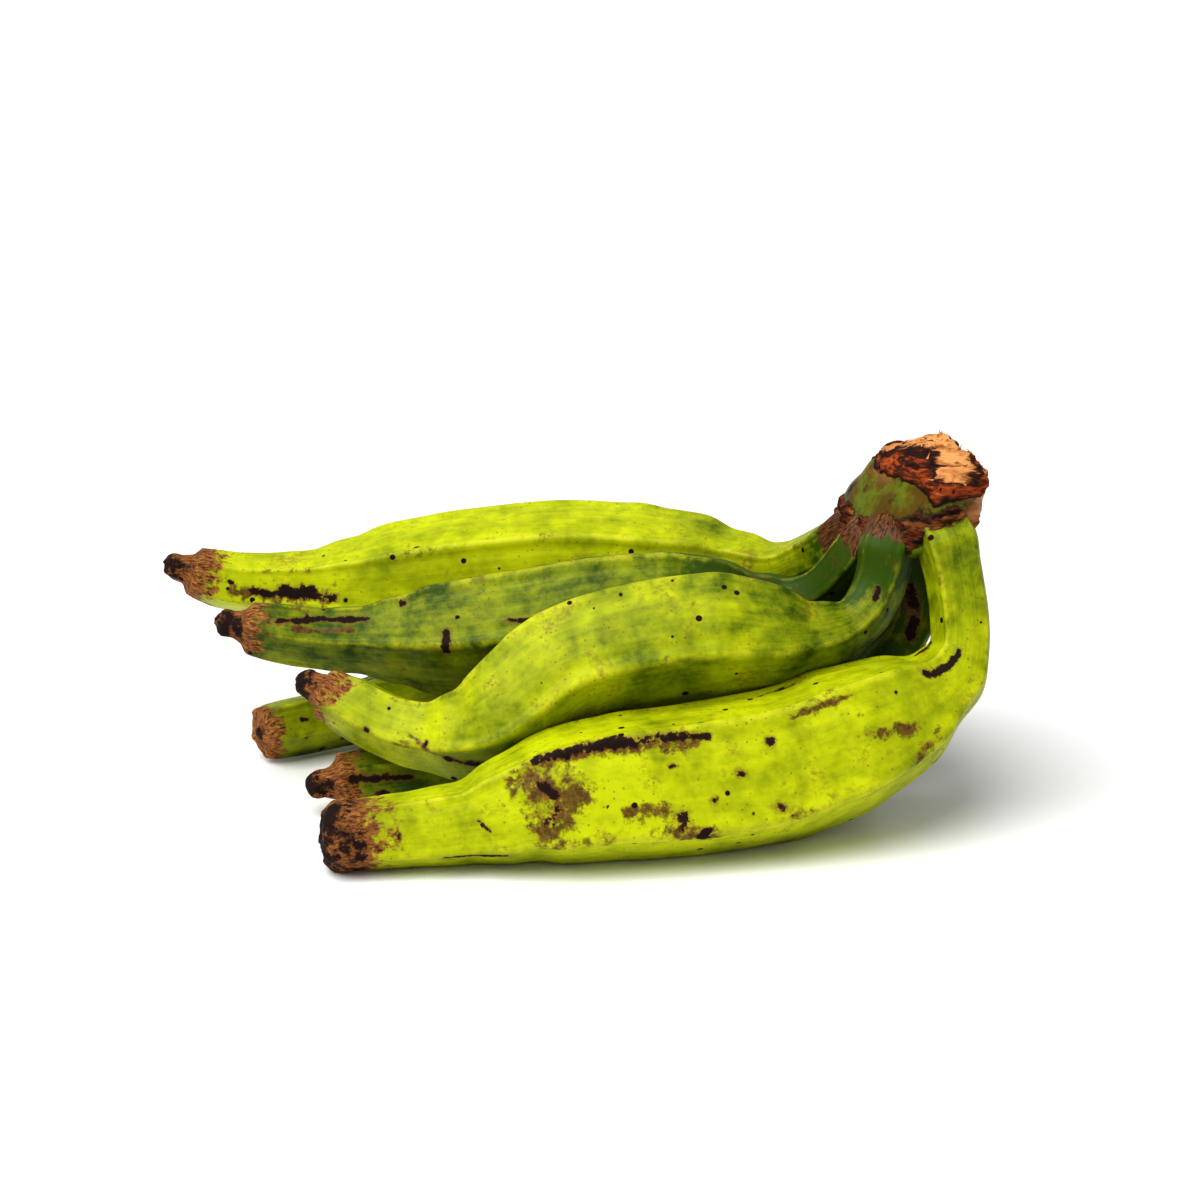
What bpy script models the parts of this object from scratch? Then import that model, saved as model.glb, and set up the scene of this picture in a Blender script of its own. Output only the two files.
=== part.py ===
"""One hand of green plantains: a crown and the seven fingers that grow from it.

The hand lies on a level surface at z = 0, as it would on a table. Three
fingers carry it, the crown stands up at the +X end and the tips point
towards -X. Lengths are in metres and +Z is up. Routes are written in
millimetres, because that is how a fruit is measured.
"""

import math

import bmesh
import bpy
import numpy as np
from mathutils import Matrix, Vector

MM = 0.001

# Driving dimensions of one finger
BODY_RADIUS = 24.5 * MM  # half the thickness of the stoutest finger
RIDGES = (46.0, 126.0, 198.0, 270.0, 342.0)  # degrees round the skin from the concave side
SPANS_PER_FACE = 4  # mesh columns between two ridges
FLATNESS = 0.42  # 0 is a round finger, 1 has flat faces between sharp ridges
RIDGE_PROUD = 1.015  # radius on a ridge, over the nominal radius
STATIONS = 30  # rings from the neck to the tip
CAP_RISE = 1.2 * MM  # how far an end's middle stands out of its last ring

# Half-thickness along a finger, as (share of its length, share of its body radius)
GIRTH = (
    (0.00, 0.40),
    (0.05, 0.36),
    (0.13, 0.36),
    (0.19, 0.50),
    (0.27, 0.84),
    (0.35, 0.99),
    (0.47, 1.02),
    (0.60, 1.00),
    (0.70, 0.93),
    (0.77, 0.74),
    (0.83, 0.55),
    (0.90, 0.49),
    (0.975, 0.47),
    (1.00, 0.43),
)

# What is left of the flower on a tip, as (distance past the tip, radius)
BLUNT_TIP = ((1.6 * MM, 9.0 * MM), (2.4 * MM, 5.5 * MM))
DRY_TIP = (
    (1.5 * MM, 9.2 * MM),
    (4.0 * MM, 6.2 * MM),
    (7.5 * MM, 5.0 * MM),
    (11.5 * MM, 4.6 * MM),
    (13.0 * MM, 3.0 * MM),
)

# Each finger's centre line from the crown to the tip, in millimetres, and its share of
# BODY_RADIUS. The front, second and rear fingers carry the hand, the upper three lie in
# the valleys between the lower four.
FINGERS = {
    "finger_front": {
        "route": (
            (126, -5, 97),
            (129, -8, 84),
            (131, -12, 69),
            (129, -17, 55),
            (115, -24, 44),
            (93, -31, 34.5),
            (68, -37, 26.4),
            (40, -43, 23.2),
            (11, -50, 22.4),
            (-14, -55, 19.5),
            (-34, -58, 14.5),
            (-60, -61, 12),
            (-81, -64, 11.5),
        ),
        "size": 1.03,
        "tip": BLUNT_TIP,
    },
    "finger_second": {
        "route": (
            (119, 13.5, 90.3),
            (118, 13, 78),
            (114, 12, 60),
            (99, 11, 40),
            (73, 10, 25),
            (40, 9, 20.4),
            (8, 8.5, 19.5),
            (-22, 3, 15.5),
            (-52, -4, 12.5),
            (-80, -11, 11.5),
        ),
        "size": 0.87,
        "tip": DRY_TIP,
    },
    "finger_inner": {
        "route": (
            (111, 32, 87),
            (113, 35, 74),
            (108, 43, 55),
            (92, 50, 36),
            (66, 54, 24.5),
            (36, 54, 20.6),
            (8, 51, 19.5),
            (-18, 44, 15.5),
            (-42, 36, 12.5),
            (-62, 29, 11),
        ),
        "size": 0.87,
        "tip": DRY_TIP,
    },
    "finger_rear": {
        "route": (
            (104, 51, 87),
            (108, 58, 71),
            (106, 72, 53),
            (92, 88, 35),
            (66, 98, 24.5),
            (36, 101, 20.8),
            (5, 97, 20),
            (-26, 87, 18),
            (-58, 73, 14.5),
            (-88, 56, 12),
            (-113, 40, 11.5),
        ),
        "size": 0.89,
        "tip": BLUNT_TIP,
    },
    "finger_upper_front": {
        "route": (
            (106, 1, 92),
            (103, -2, 79),
            (94, -8, 68),
            (77, -11, 64),
            (50, -11, 65),
            (24, -14, 62.5),
            (-4, -18, 55),
            (-31, -25, 36.5),
            (-57, -20, 33),
            (-84, -11, 43),
        ),
        "size": 0.86,
        "tip": DRY_TIP,
    },
    "finger_upper_middle": {
        "route": (
            (98, 19, 83.5),
            (94, 21, 78),
            (84, 25, 68),
            (66, 30, 63),
            (38, 32, 61),
            (8, 31, 59),
            (-26, 30, 54),
            (-60, 29, 51.5),
            (-90, 27, 52),
            (-114, 25, 56),
        ),
        "size": 0.90,
        "tip": DRY_TIP,
    },
    "finger_upper_rear": {
        "route": (
            (91, 36, 82.5),
            (85, 44, 77),
            (74, 55, 69),
            (54, 68, 66),
            (26, 76, 63),
            (-6, 79, 63),
            (-42, 80, 59.5),
            (-80, 79, 56),
            (-124, 77, 56.5),
            (-140, 75, 61),
        ),
        "size": 0.90,
        "tip": DRY_TIP,
    },
}

# Crown: rings from its scarred base to its torn top. Each is (height, centre x, centre y,
# half length along the row of necks, half width across it), in millimetres.
CROWN_RINGS = (
    (92.5, 113, 21, 27, 11),
    (94.5, 113, 20, 30, 14),
    (100.5, 114, 19, 31, 15),
    (107.0, 116, 18, 30, 14.5),
    (112.0, 119, 16, 28, 13.5),
    (116.0, 121, 15, 26, 13),
    (119.0, 122, 15, 22, 10.5),
)
CROWN_PEAK = (126, 22, 127)  # the highest torn fibre
CROWN_COLUMNS = 28
CROWN_SQUARENESS = 2.6  # exponent of the superellipse that a ring follows
CROWN_YAW = math.radians(118)  # direction of the row of necks, from +X
CROWN_SLOPE_ALONG = -0.23  # the base drops towards the rear finger's neck
CROWN_SLOPE_ACROSS = -0.26  # and towards the upper row of fingers

GREEN = (0.30, 0.46, 0.03, 1.0)
OLIVE = (0.20, 0.27, 0.04, 1.0)


def clear_scene():
    for item in list(bpy.data.objects):
        bpy.data.objects.remove(item)


def skin_material(name, colour, roughness):
    material = bpy.data.materials.new(name)
    material.use_nodes = True
    shader = material.node_tree.nodes["Principled BSDF"]
    shader.inputs["Base Color"].default_value = colour
    shader.inputs["Roughness"].default_value = roughness
    shader.inputs["Metallic"].default_value = 0.0
    return material


def smooth_path(points, count):
    """Evenly spaced points on a Catmull-Rom curve through the given ones."""
    knots = np.array(points, dtype=float)
    padded = np.vstack([2 * knots[0] - knots[1], knots, 2 * knots[-1] - knots[-2]])
    dense = []
    for i in range(len(knots) - 1):
        a, b, c, d = padded[i : i + 4]
        for t in np.linspace(0.0, 1.0, 24, endpoint=False):
            dense.append(
                0.5
                * (
                    2 * b
                    + (c - a) * t
                    + (2 * a - 5 * b + 4 * c - d) * t**2
                    + (3 * b - a - 3 * c + d) * t**3
                )
            )
    dense.append(knots[-1])
    dense = np.array(dense)
    steps = np.linalg.norm(np.diff(dense, axis=0), axis=1)
    travelled = np.concatenate([[0.0], np.cumsum(steps)])
    wanted = np.linspace(0.0, travelled[-1], count)
    even = np.column_stack([np.interp(wanted, travelled, dense[:, k]) for k in range(3)])
    return [Vector(point) for point in even]


def girth_at(share):
    """Half-thickness at a share of the length, eased between the knots of GIRTH."""
    for (start, low), (end, high) in zip(GIRTH, GIRTH[1:]):
        if share <= end:
            t = (share - start) / (end - start)
            return low + (high - low) * t * t * (3 - 2 * t)
    return GIRTH[-1][1]


def skin_columns():
    """(angle, radius factor) of each mesh column, with ridges where two faces meet."""
    columns = []
    for i, ridge in enumerate(RIDGES):
        following = RIDGES[(i + 1) % len(RIDGES)] + 360.0 * (i + 1 == len(RIDGES))
        middle = (ridge + following) / 2
        half = math.radians(following - ridge) / 2
        for k in range(SPANS_PER_FACE):
            angle = ridge + (following - ridge) * k / SPANS_PER_FACE
            off_middle = math.radians(angle - middle)
            face = math.cos(half) / math.cos(off_middle)
            factor = RIDGE_PROUD * ((1 - FLATNESS) + FLATNESS * face)
            columns.append((math.radians(angle), factor))
    return columns


def bend_normal(path):
    """The direction across the plane that a finger bends in."""
    to_neck = path[0] - path[len(path) // 3]
    to_tip = path[-1] - path[len(path) // 3]
    return to_tip.cross(to_neck).normalized()


def ring_points(centre, along, across, radius, columns):
    side = (across - across.dot(along) * along).normalized()
    inward = side.cross(along)
    points = []
    for angle, factor in columns:
        reach = radius * factor
        points.append(centre + reach * (math.cos(angle) * inward - math.sin(angle) * side))
    return points


def extrude_ring(bm, ring, points):
    """Extrudes the open ring once and moves the new ring onto the given points."""
    place = {vertex: point for vertex, point in zip(ring, points)}
    edges = [bm.edges.get(pair) for pair in zip(ring, ring[1:] + ring[:1])]
    made = bmesh.ops.extrude_edge_only(bm, edges=edges)["geom"]
    fresh = {}
    for vertex in made:
        if isinstance(vertex, bmesh.types.BMVert):
            ends = [edge.other_vert(vertex) for edge in vertex.link_edges]
            origin = next(end for end in ends if end in place)
            vertex.co = place[origin]
            fresh[origin] = vertex
    return [fresh[vertex] for vertex in ring]


def close_end(bm, ring, apex):
    """Closes an open ring with a low cone, whose point is the apex."""
    middle = bm.verts.new(apex)
    for a, b in zip(ring, ring[1:] + ring[:1]):
        bm.faces.new((a, b, middle))


def lofted_mesh(name, rings, first_apex, last_apex):
    """A closed mesh through the given rings of points, with a low cone at each end."""
    bm = bmesh.new()
    made = bmesh.ops.create_circle(bm, segments=len(rings[0]), radius=1.0)["verts"]
    ring = list(made)
    for vertex, point in zip(ring, rings[0]):
        vertex.co = point
    first = ring
    for points in rings[1:]:
        ring = extrude_ring(bm, ring, points)
    close_end(bm, first, first_apex)
    close_end(bm, ring, last_apex)
    bmesh.ops.recalc_face_normals(bm, faces=bm.faces)
    mesh = bpy.data.meshes.new(name)
    bm.to_mesh(mesh)
    bm.free()
    mesh.shade_smooth()
    return mesh


def rest_on_surface(rings):
    """Presses what would reach below z = 0 flat, as a resting fruit's skin is."""
    for ring in rings:
        for point in ring:
            point.z = max(point.z, 0.0)


def finger_rings(spec):
    """(rings, neck apex, tip apex) of one finger."""
    path = smooth_path([Vector(p) * MM for p in spec["route"]], STATIONS)
    across = bend_normal(path)
    columns = skin_columns()
    body = BODY_RADIUS * spec["size"]
    rings = []
    for i, centre in enumerate(path):
        ahead = path[min(i + 1, STATIONS - 1)]
        behind = path[max(i - 1, 0)]
        along = (ahead - behind).normalized()
        radius = body * girth_at(i / (STATIONS - 1))
        rings.append(ring_points(centre, along, across, radius, columns))
    past = 0.0
    for past, radius in spec["tip"]:
        rings.append(ring_points(path[-1] + along * past, along, across, radius, columns))
    rest_on_surface(rings)
    neck_along = (path[1] - path[0]).normalized()
    neck_apex = path[0] - neck_along * CAP_RISE
    tip_apex = path[-1] + along * (past + CAP_RISE)
    return rings, neck_apex, tip_apex


def make_finger(name, spec):
    rings, neck_apex, tip_apex = finger_rings(spec)
    mesh = lofted_mesh(name, rings, neck_apex, tip_apex)
    mesh.materials.append(skin_material(name + "_skin", GREEN, 0.42))
    finger = bpy.data.objects.new(name, mesh)
    bpy.context.scene.collection.objects.link(finger)
    return finger


def crown_ring(height, x, y, half_length, half_width, slope):
    """One rounded oblong ring of the crown, long way along the row of necks."""
    row = Vector((math.cos(CROWN_YAW), math.sin(CROWN_YAW), 0.0))
    over = Vector((-row.y, row.x, 0.0))
    points = []
    for i in range(CROWN_COLUMNS):
        turn = 2 * math.pi * i / CROWN_COLUMNS
        c, s = math.cos(turn), math.sin(turn)
        along = math.copysign(abs(c) ** (2 / CROWN_SQUARENESS), c) * half_length
        across = math.copysign(abs(s) ** (2 / CROWN_SQUARENESS), s) * half_width
        drop = slope * (CROWN_SLOPE_ALONG * along + CROWN_SLOPE_ACROSS * across)
        point = Vector((x, y, height + drop)) + row * along + over * across
        points.append(point * MM)
    return points


def make_crown():
    last = len(CROWN_RINGS) - 1
    rings = [crown_ring(*ring, (1 - i / last) ** 1.5) for i, ring in enumerate(CROWN_RINGS)]
    base_apex = sum(rings[0], Vector()) / CROWN_COLUMNS
    base_apex.z -= CAP_RISE
    mesh = lofted_mesh("crown", rings, base_apex, Vector(CROWN_PEAK) * MM)
    mesh.materials.append(skin_material("crown_rind", OLIVE, 0.6))
    crown = bpy.data.objects.new("crown", mesh)
    bpy.context.scene.collection.objects.link(crown)
    return crown


def stand_on_origin(pieces):
    """Moves the meshes so that the middle of the hand's base box is the origin."""
    corners = [vertex.co for piece in pieces for vertex in piece.data.vertices]
    low = Vector(map(min, zip(*corners)))
    high = Vector(map(max, zip(*corners)))
    shift = Vector((-(low.x + high.x) / 2, -(low.y + high.y) / 2, -low.z))
    for piece in pieces:
        piece.data.transform(Matrix.Translation(shift))


def main():
    clear_scene()
    pieces = [make_crown()]
    for name, spec in FINGERS.items():
        pieces.append(make_finger(name, spec))
    stand_on_origin(pieces)


main()
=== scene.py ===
"""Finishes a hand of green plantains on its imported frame: peel, scars, dry tips and torn crown."""

import math
import random

import bmesh
import bpy
import numpy as np
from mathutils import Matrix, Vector, noise


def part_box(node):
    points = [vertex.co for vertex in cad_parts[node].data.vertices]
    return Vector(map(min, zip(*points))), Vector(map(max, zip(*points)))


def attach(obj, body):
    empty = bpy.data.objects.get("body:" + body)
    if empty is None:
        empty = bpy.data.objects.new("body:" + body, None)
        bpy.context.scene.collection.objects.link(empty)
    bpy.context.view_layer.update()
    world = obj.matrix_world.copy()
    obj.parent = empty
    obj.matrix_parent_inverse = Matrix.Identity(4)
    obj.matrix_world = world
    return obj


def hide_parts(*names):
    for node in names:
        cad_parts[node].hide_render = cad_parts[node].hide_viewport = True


bl_info = {
    "name": "Hand of plantains",
    "version": (1, 0, 0),
    "blender": (4, 5, 0),
    "location": "3D View > Sidebar > Plantains",
    "description": "Skins, scars, dry tips and torn crown for a hand of green plantains",
    "category": "Object",
}

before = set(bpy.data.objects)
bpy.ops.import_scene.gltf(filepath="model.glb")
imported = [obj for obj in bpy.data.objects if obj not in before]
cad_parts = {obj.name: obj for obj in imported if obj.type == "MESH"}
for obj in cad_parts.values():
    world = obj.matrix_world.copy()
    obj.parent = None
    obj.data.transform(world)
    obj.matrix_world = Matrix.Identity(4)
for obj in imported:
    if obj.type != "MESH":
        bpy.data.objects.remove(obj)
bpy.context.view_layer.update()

MM = 0.001
MERGE = 1e-6  # points of the frame's loose triangles closer than this are one
RIDGE_COUNT = 5  # long ridges round a finger
PEEL_GROUP = "Plantain peel"

# The relief of a finger's skin, in metres unless it says a share.
DENT = 0.40 * MM  # depth of the wide soft dents
RIPPLE = 0.10 * MM  # depth of the small waves
FLUTE = 0.75 * MM  # depth of the lengthwise folds near a dry tip
CREST = 0.0125  # height of a ridge's crest, as a share of the girth
CREST_POWER = 7  # how narrow that crest is
HOLLOW = 0.30  # how deep the faces between the ridges sink, as a share of the crest
SWELL_PLACES = (0.0, 0.02, 0.07, 0.13)  # distances from the crown's end of the finger
SWELL_SHARES = (0.4, 1.0, 1.0, 0.0)  # shares of the neck's swell at those distances
GREEN_AND_SHADE_REACH = 0.11  # how far from the crown a finger stays greener and darker, partly real green and partly painted shade
GREENER_AND_SHADED = 0.6  # how much less ripe the neck is beside the crown, which also paints the shade round the necks
JOINT_FADE = 0.004  # the crown's brown scar gives way to green over this distance
SHADED_BRUISES = 0.6  # the shaded fingers' bruises, as a share of the lit ones'

# How a neck is carried on into the crown, in metres or as a share.
HEART_DEPTH = 12 * MM  # how far below the crown's top the necks point
NECK_CARRY = 12 * MM  # how far the neck's last ring is carried
NECK_TAPER = 0.8  # how wide it still is there
NECK_END = 15 * MM  # how far in the neck closes

# The crown, in metres unless it says a share.
CROWN_COLUMNS = 220
CROWN_ROWS = 200
TORN_RISE = 0.016  # from the torn edge up to where the fibre is freshest
LOBE_REACH = 0.011  # how far the corky lobe reaches
LEAF_HEIGHT = 0.0032  # from one layer of the scar to the next
LEAF_TILT = 0.25  # how steeply those layers run, as a share
SKIRT_TOP = 0.103  # under this height the crown spreads over the necks
SKIRT_FADE = 0.010
SKIRT_FLARE = 0.13  # how much it spreads, as a share of its width
SKIRT_DROP = 6.5 * MM  # how far it is drawn down over them
SPLINTERS = 46
SPLINTER_TIP = 0.05 * MM
FRESH_HEIGHT = 0.112  # above this height the loose fibres are paler
FRESH_FADE = 0.012

# The stage.
AIM = (0.0147, -0.0196, 0.0725)  # metres, the point that the camera looks at
SENSOR_WIDTH = 36  # mm
LIGHT_WAY = (0.45, 0.35, -1)  # the way that the key light shines
LIGHT_WIDTH = math.radians(55)

# What each finger wears. ripe: how ripe the peel is, from 0 deep green to 1 lime, and set lower on the
# fingers that lie in shade as painted shade. char and cork: how far the dark dead tissue and the tan corky
# skin reach from the tip over its surface, in mm. Scars and smudges are strokes on the peel: the share of
# the length and the turn round the finger where each starts, the same where it ends, and its half width in
# mm.
# neck: how much the neck swells, and joint: how far the crown's brown scar reaches down it, in mm. hidden:
# the turns between which only chance marks lie.
FINGERS = {
    "finger_front": {
        "slot": "lit_skin",
        "ripe": 0.78,
        "char": 21,
        "cork": 32,
        "neck": 0.8,
        "joint": 15.5,
        "scars": (
            (0.725, 0.995, 0.62, 0.988, 1.7),
            (0.63, 0.99, 0.545, 0.982, 1.2),
            (0.728, 0.945, 0.716, 0.91, 1.5),
            (0.715, 0.875, 0.73, 0.85, 1.2),
            (0.474, 0.952, 0.476, 0.952, 1.5),
            (0.514, 0.901, 0.516, 0.901, 1.5),
            (0.55, 0.855, 0.551, 0.856, 1.5),
            (0.589, 0.935, 0.596, 0.935, 0.8),
            (0.587, 0.826, 0.59, 0.82, 2.5),
            (0.562, 0.80, 0.568, 0.795, 2.0),
            (0.476, 0.821, 0.48, 0.823, 1.6),
            (0.265, 0.966, 0.20, 0.94, 1.0),
            (0.039, 0.943, 0.04, 0.943, 1.4),
            (0.80, 0.90, 0.79, 0.86, 0.8),
            (0.84, 0.78, 0.78, 0.765, 1.0),
        ),
        "smudges": (
            (0.735, 0.955, 0.70, 0.90, 8.5),
            (0.70, 0.90, 0.73, 0.835, 7.0),
            (0.72, 0.985, 0.56, 0.975, 2.6),
            (0.645, 0.85, 0.60, 0.845, 2.6),
            (0.60, 0.81, 0.55, 0.79, 3.0),
            (0.36, 0.90, 0.31, 0.86, 3.0),
            (0.33, 0.80, 0.30, 0.82, 2.4),
            (0.44, 0.985, 0.36, 0.985, 1.2),
        ),
        "hidden": (0.12, 0.62),
    },
    "finger_second": {
        "slot": "shaded_skin",
        "ripe": 0.25,
        "char": 11,
        "cork": 25,
        "neck": 2.4,
        "joint": 17,
        "scars": (
            (0.93, 0.752, 0.86, 0.73, 1.4),
            (0.843, 0.653, 0.835, 0.65, 1.2),
            (0.90, 0.66, 0.89, 0.64, 1.6),
            (0.12, 0.76, 0.14, 0.73, 1.8),
            (0.16, 0.70, 0.18, 0.69, 1.6),
        ),
        "smudges": ((0.13, 0.76, 0.17, 0.70, 3.0),),
        "hidden": (0.0, 0.5),
    },
    "finger_inner": {
        "slot": "shaded_skin",
        "ripe": 0.3,
        "char": 11,
        "cork": 25,
        "neck": 1.4,
        "joint": 17,
        "scars": (),
        "smudges": (),
        "hidden": (0.0, 1.0),
    },
    "finger_rear": {
        "slot": "shaded_skin",
        "ripe": 0.42,
        "char": 4,
        "cork": 15,
        "neck": 1.2,
        "joint": 17,
        "scars": ((0.936, 0.896, 0.93, 0.89, 1.0), (0.884, 0.696, 0.885, 0.70, 0.9)),
        "smudges": (),
        "hidden": (0.0, 0.6),
    },
    "finger_upper_front": {
        "slot": "lit_skin",
        "ripe": 0.52,
        "char": 11,
        "cork": 25,
        "neck": 1.4,
        "joint": 17,
        "scars": (
            (0.75, 0.76, 0.705, 0.665, 1.5),
            (0.775, 0.815, 0.776, 0.815, 1.2),
            (0.86, 0.80, 0.855, 0.80, 0.9),
            (0.13, 0.86, 0.15, 0.85, 0.8),
        ),
        "smudges": ((0.80, 0.84, 0.72, 0.72, 1.4),),
        "hidden": (0.1, 0.6),
    },
    "finger_upper_middle": {
        "slot": "shaded_skin",
        "ripe": 0.22,
        "char": 11,
        "cork": 24,
        "neck": 1.2,
        "joint": 17,
        "scars": (
            (0.90, 0.905, 0.84, 0.945, 1.1),
            (0.85, 0.945, 0.777, 0.935, 1.1),
            (0.725, 0.97, 0.726, 0.97, 1.3),
            (0.614, 0.752, 0.60, 0.752, 2.2),
            (0.542, 0.793, 0.543, 0.793, 1.0),
            (0.664, 0.843, 0.667, 0.79, 1.3),
            (0.58, 0.858, 0.49, 0.82, 1.1),
        ),
        "smudges": ((0.88, 0.86, 0.80, 0.88, 1.6),),
        "hidden": (0.1, 0.6),
    },
    "finger_upper_rear": {
        "slot": "lit_skin",
        "ripe": 0.82,
        "char": 12,
        "cork": 27,
        "neck": 1.0,
        "joint": 17,
        "scars": (
            (0.865, 0.668, 0.76, 0.655, 1.8),
            (0.83, 0.685, 0.79, 0.685, 2.0),
            (0.90, 0.72, 0.895, 0.72, 1.0),
        ),
        "smudges": ((0.89, 0.66, 0.77, 0.66, 3.6),),
        "hidden": (0.0, 0.5),
    },
}
# Round the crown, by turn: heights in mm of the torn edge and of the two edges of the layered scar, and
# then strokes like a finger's.
TORN_EDGE = ((0.0, 117), (0.09, 112), (0.2, 110), (0.28, 114), (0.42, 115), (0.7, 117), (0.9, 117))
SCAR_TOP = ((0.0, 103), (0.14, 110), (0.25, 105), (0.30, 102), (0.35, 98.5), (0.5, 101), (0.8, 100))
SCAR_FOOT = ((0.0, 95), (0.14, 103), (0.21, 96), (0.30, 88), (0.36, 89), (0.5, 90), (0.8, 90))
CROWN_SCARS = ((0.43, 0.47, 0.432, 0.47, 2.2), (0.50, 0.42, 0.54, 0.40, 1.7), (0.60, 0.45, 0.52, 0.47, 1.6))
PALE_LOBE = (143, -24, 106)  # mm, the corky lobe at the crown's front corner
LOWER_ROW = ("finger_front", "finger_second", "finger_inner", "finger_rear")
UPPER_ROW = ("finger_upper_front", "finger_upper_middle", "finger_upper_rear")


# Shapes


def solid_copy(node):
    """A copy of a CAD node with its loose triangles merged into one closed solid."""
    solid = bmesh.new()
    solid.from_mesh(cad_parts[node].data)
    bmesh.ops.remove_doubles(solid, verts=solid.verts, dist=MERGE)
    return solid


def walk_round(ring, start):
    """The ring's points in order, from start."""
    order = [start]
    left = ring - {start}
    while left:
        near = [edge.other_vert(order[-1]) for edge in order[-1].link_edges]
        order.append(next(vert for vert in near if vert in left))
        left.remove(order[-1])
    return order


def turned_alike(order, centre, way):
    """The ring's points in the order that goes round it clockwise, seen along way."""
    turn = sum((a - centre).cross(b - centre).dot(way) for a, b in zip(order, order[1:]))
    return order if turn >= 0 else order[:1] + order[:0:-1]


def straight_on(start, centre, following):
    """The point of the following ring that carries on the long line that start is on."""
    out = (start.co - centre).normalized()
    middle = sum((vert.co for vert in following), Vector()) / len(following)
    touching = [edge.other_vert(start) for edge in start.link_edges]
    touching = [vert for vert in touching if vert in following]
    return max(touching, key=lambda vert: (vert.co - middle).normalized().dot(out))


def cad_rings(node):
    """The rings that a node is lofted through, as an array of points, from the crown end to the far end.

    Every ring starts on the same long line of the solid and turns the same way. The first and last
    rings are the solid's two end points, repeated.
    """
    solid = solid_copy(node)
    ends = sorted(solid.verts, key=lambda vert: len(vert.link_edges))[-2:]
    far, near = sorted(ends, key=lambda vert: vert.co.x + vert.co.z)
    seen = {near, far}
    ring = {edge.other_vert(near) for edge in near.link_edges}
    start = max(ring, key=lambda vert: vert.co.x)
    rings = []
    behind = None
    while ring:
        order = [vert.co.copy() for vert in walk_round(ring, start)]
        centre = sum(order, Vector()) / len(order)
        way = centre - behind if behind else far.co - near.co
        rings.append(turned_alike(order, centre, way))
        behind = centre
        seen |= ring
        following = {edge.other_vert(vert) for vert in ring for edge in vert.link_edges} - seen
        if following:
            start = straight_on(start, centre, following)
        ring = following
    count = len(rings[0])
    points = [[near.co.copy()] * count, *rings, [far.co.copy()] * count]
    solid.free()
    return np.array(points, float)


def ridge_first(rings):
    """The rings turned so that they start on the ridge that lies uppermost half way along."""
    centres = rings.mean(axis=1, keepdims=True)
    radii = np.linalg.norm(rings - centres, axis=2).mean(axis=0)
    faces = len(radii) // RIDGE_COUNT
    first = max(range(faces), key=lambda column: radii[column::faces].mean())
    middle = rings[len(rings) // 2] - centres[len(rings) // 2]
    ridges = range(first, len(radii), faces)
    uppermost = max(ridges, key=lambda column: middle[column, 2])
    return np.roll(rings, -uppermost, axis=1)


def read_round(rings, columns):
    """The rings read at even steps round them by a closed Catmull-Rom curve, first point repeated last."""
    count = rings.shape[1]
    place = np.arange(columns + 1) * count / columns
    whole = np.floor(place).astype(int)
    part = (place - whole)[None, :, None]
    before, here, after, beyond = (rings[:, (whole + step) % count] for step in (-1, 0, 1, 2))
    return 0.5 * (
        2 * here
        + (after - before) * part
        + (2 * before - 5 * here + 4 * after - beyond) * part**2
        + (3 * here - before - 3 * after + beyond) * part**3
    )


def length_along(rings):
    """How far each ring is from the first, measured over the solid's surface."""
    steps = np.linalg.norm(np.diff(rings, axis=0), axis=2).mean(axis=1)
    return np.concatenate([[0.0], np.cumsum(steps)])


def read_along(rings, rows):
    """The rings read at even distances along the solid by a cubic curve through their points."""
    place = length_along(rings)
    gaps = np.diff(place)[:, None, None]
    slopes = np.diff(rings, axis=0) / gaps
    tangents = np.concatenate(
        [
            slopes[:1],
            (slopes[:-1] * gaps[1:] + slopes[1:] * gaps[:-1]) / (gaps[1:] + gaps[:-1]),
            slopes[-1:],
        ]
    )
    wanted = np.linspace(0, place[-1], rows + 1)
    low = np.clip(np.searchsorted(place, wanted, side="right") - 1, 0, len(place) - 2)
    gap = gaps[low]
    part = ((wanted - place[low])[:, None, None]) / gap
    return (
        rings[low] * (1 + 2 * part) * (1 - part) ** 2
        + tangents[low] * gap * part * (1 - part) ** 2
        + rings[low + 1] * part**2 * (3 - 2 * part)
        + tangents[low + 1] * gap * part**2 * (part - 1)
    )


def outward(points):
    """Unit normals of a closed loft's points, pointing out of it."""
    round_it = np.roll(points[:, :-1], -1, axis=1) - np.roll(points[:, :-1], 1, axis=1)
    round_it = np.concatenate([round_it, round_it[:, :1]], axis=1)
    along_it = np.gradient(points, axis=0)
    normals = np.cross(round_it, along_it)
    normals /= np.linalg.norm(normals, axis=2, keepdims=True) + 1e-12
    centres = points[:, :-1].mean(axis=1, keepdims=True)
    side = np.sign(np.sum((points - centres) * normals, axis=2).mean())
    return normals * side


def noise_over(points, size, detail=2, offset=0.0):
    """Smooth noise from -1 to 1 at each point, with lumps of about that size in metres."""
    shift = Vector((offset, offset, offset))
    flat = points.reshape(-1, 3) / size
    values = [noise.fractal(Vector(p) + shift, 1.0, 2.0, detail) for p in flat]
    return np.array(values).reshape(points.shape[:-1])


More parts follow.
